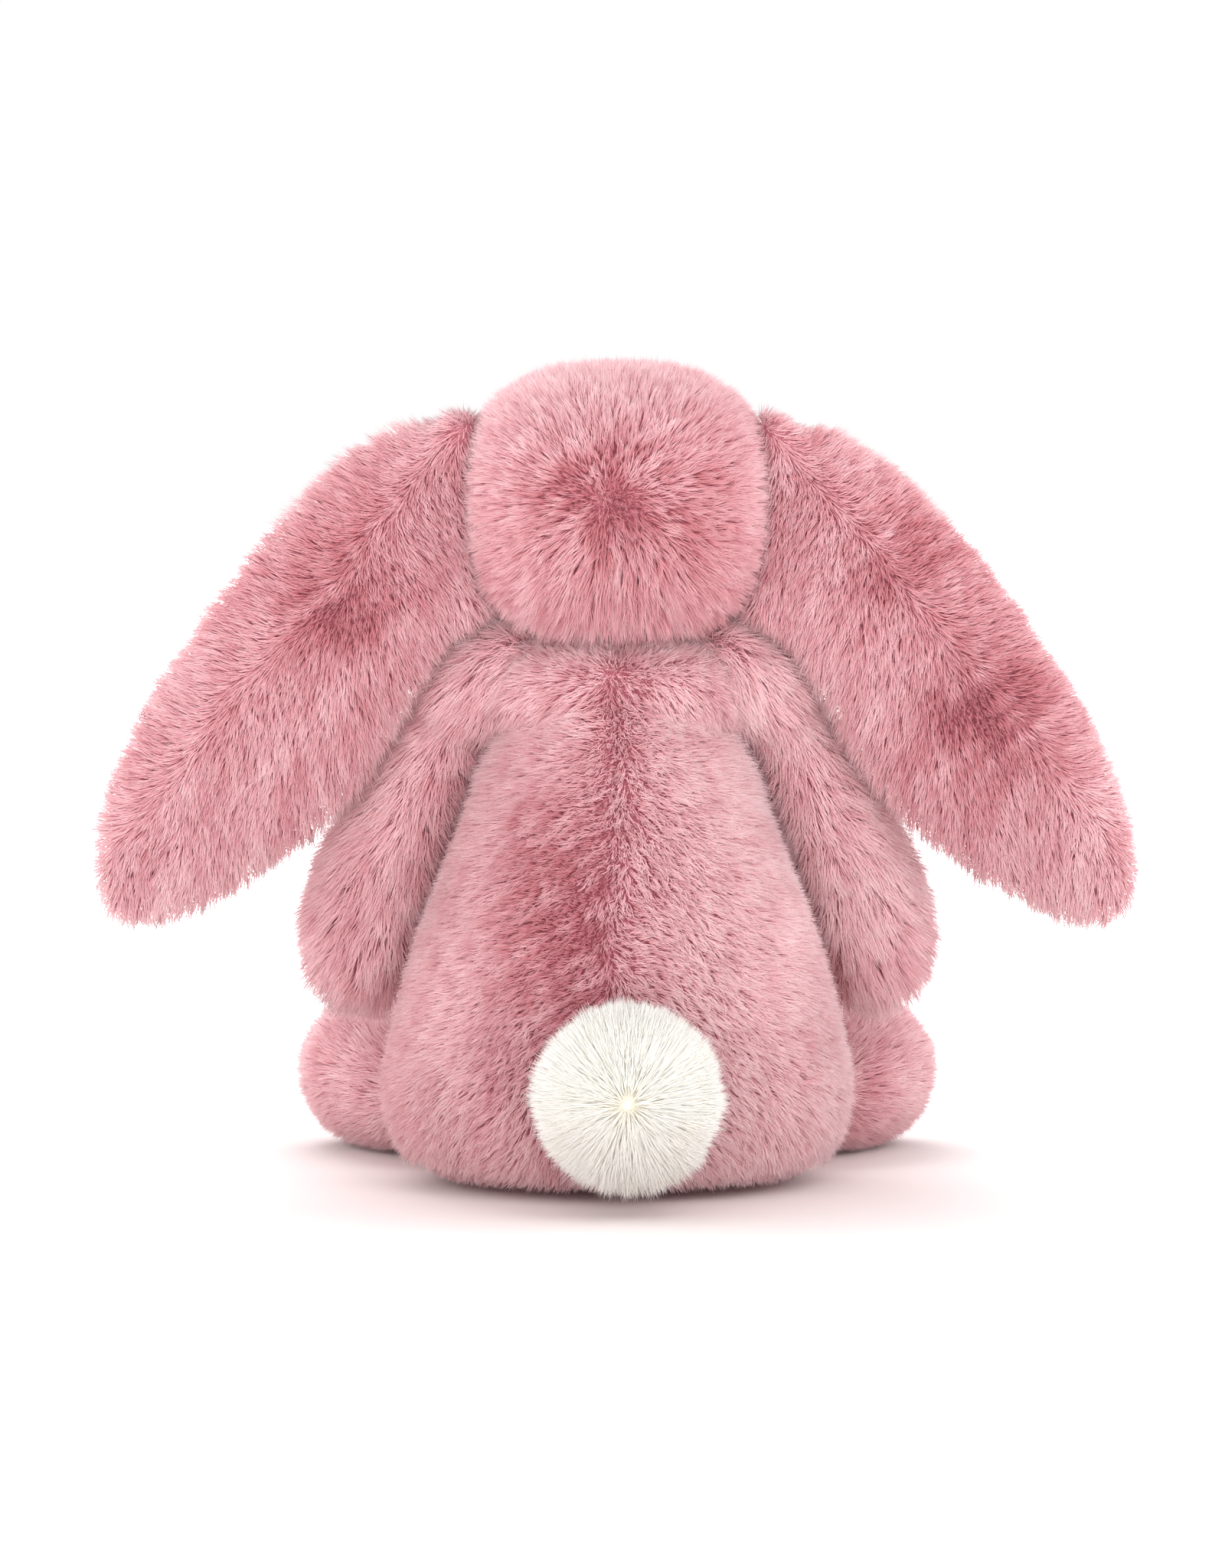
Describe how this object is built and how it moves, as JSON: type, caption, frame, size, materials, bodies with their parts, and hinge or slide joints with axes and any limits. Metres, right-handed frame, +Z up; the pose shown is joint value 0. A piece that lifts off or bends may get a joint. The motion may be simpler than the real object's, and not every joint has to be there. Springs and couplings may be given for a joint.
{
  "type": "stuffed bunny rabbit",
  "caption": "Seated plush rabbit with long drooping ears, soft stuffed limbs that swing, a tilting head and a round pompom tail.",
  "frame": {"origin": "centre of the flat seat, on the surface that the toy sits on", "axes": "+Z up through the head, -Y the way the face looks, +X the toy's own left, along the spread of the ears"},
  "size_m": [0.2642, 0.182, 0.2078],
  "materials": {
    "pink_fur": "long, soft pile fabric in dusty tulip pink",
    "cream_fur": "long, dense cream-white pile",
    "ear_lining": "short, smooth, paler pink pile",
    "stuffing": "white polyester fibre filling",
    "pouch_cloth": "plain woven cotton, filled with plastic pellets",
    "nose_cloth": "satin-stitched embroidery thread",
    "thread": "twisted embroidery thread",
    "eye_bead": "polished black plastic",
    "washer": "moulded white plastic"
  },
  "bodies": {
    "torso": {"back_left_panel": "pink_fur", "back_right_panel": "pink_fur", "tummy_panel": "pink_fur", "seat_panel": "pink_fur", "bean_pouch": "pouch_cloth", "torso_stuffing": "stuffing", "tail_stitching": "cream_fur"},
    "neck": {"neck_stuffing": "stuffing"},
    "head": {"head_left_panel": "pink_fur", "head_right_panel": "pink_fur", "head_gusset": "pink_fur", "head_stuffing": "stuffing", "left_eye": "eye_bead", "right_eye": "eye_bead", "left_eye_washer": "washer", "right_eye_washer": "washer", "nose": "nose_cloth", "mouth_thread": "thread"},
    "left_ear": {"left_ear_back": "pink_fur", "left_ear_lining": "ear_lining"},
    "right_ear": {"right_ear_back": "pink_fur", "right_ear_lining": "ear_lining"},
    "left_arm": {"left_arm_outer_panel": "pink_fur", "left_arm_inner_panel": "pink_fur", "left_arm_stuffing": "stuffing"},
    "right_arm": {"right_arm_outer_panel": "pink_fur", "right_arm_inner_panel": "pink_fur", "right_arm_stuffing": "stuffing"},
    "left_leg": {"left_leg_top_panel": "pink_fur", "left_leg_sole_panel": "pink_fur", "left_leg_stuffing": "stuffing"},
    "right_leg": {"right_leg_top_panel": "pink_fur", "right_leg_sole_panel": "pink_fur", "right_leg_stuffing": "stuffing"},
    "tail": {"tail_cover": "cream_fur", "tail_stuffing": "stuffing"}
  },
  "joints": [
    {"name": "neck_turn", "type": "hinge", "parent": "torso", "child": "neck", "pos_m": [0, 0, 0.135], "axis": [0, 0, 1], "range_deg": [-15, 15]},
    {"name": "neck_nod", "type": "hinge", "parent": "neck", "child": "head", "pos_m": [0, 0, 0.135], "axis": [1, 0, 0], "range_deg": [-10, 12]},
    {"name": "left_ear_lift", "type": "hinge", "parent": "head", "child": "left_ear", "pos_m": [0.047, -0.008, 0.186], "axis": [0, -1, 0], "range_deg": [0, 60]},
    {"name": "right_ear_lift", "type": "hinge", "parent": "head", "child": "right_ear", "pos_m": [-0.047, -0.008, 0.186], "axis": [0, 1, 0], "range_deg": [0, 60]},
    {"name": "left_arm_swing", "type": "hinge", "parent": "torso", "child": "left_arm", "pos_m": [0.037, -0.013, 0.119], "axis": [-1, 0, 0], "range_deg": [0, 75]},
    {"name": "right_arm_swing", "type": "hinge", "parent": "torso", "child": "right_arm", "pos_m": [-0.037, -0.013, 0.119], "axis": [-1, 0, 0], "range_deg": [0, 75]},
    {"name": "left_leg_lift", "type": "hinge", "parent": "torso", "child": "left_leg", "pos_m": [0.044, -0.048, 0.018], "axis": [-1, 0, 0], "range_deg": [0, 40]},
    {"name": "right_leg_lift", "type": "hinge", "parent": "torso", "child": "right_leg", "pos_m": [-0.044, -0.048, 0.018], "axis": [-1, 0, 0], "range_deg": [0, 40]},
    {"name": "tail_wag", "type": "hinge", "parent": "torso", "child": "tail", "pos_m": [-0.0025, 0.05, 0.0295], "axis": [0, 0, 1], "range_deg": [-15, 15]}
  ]
}
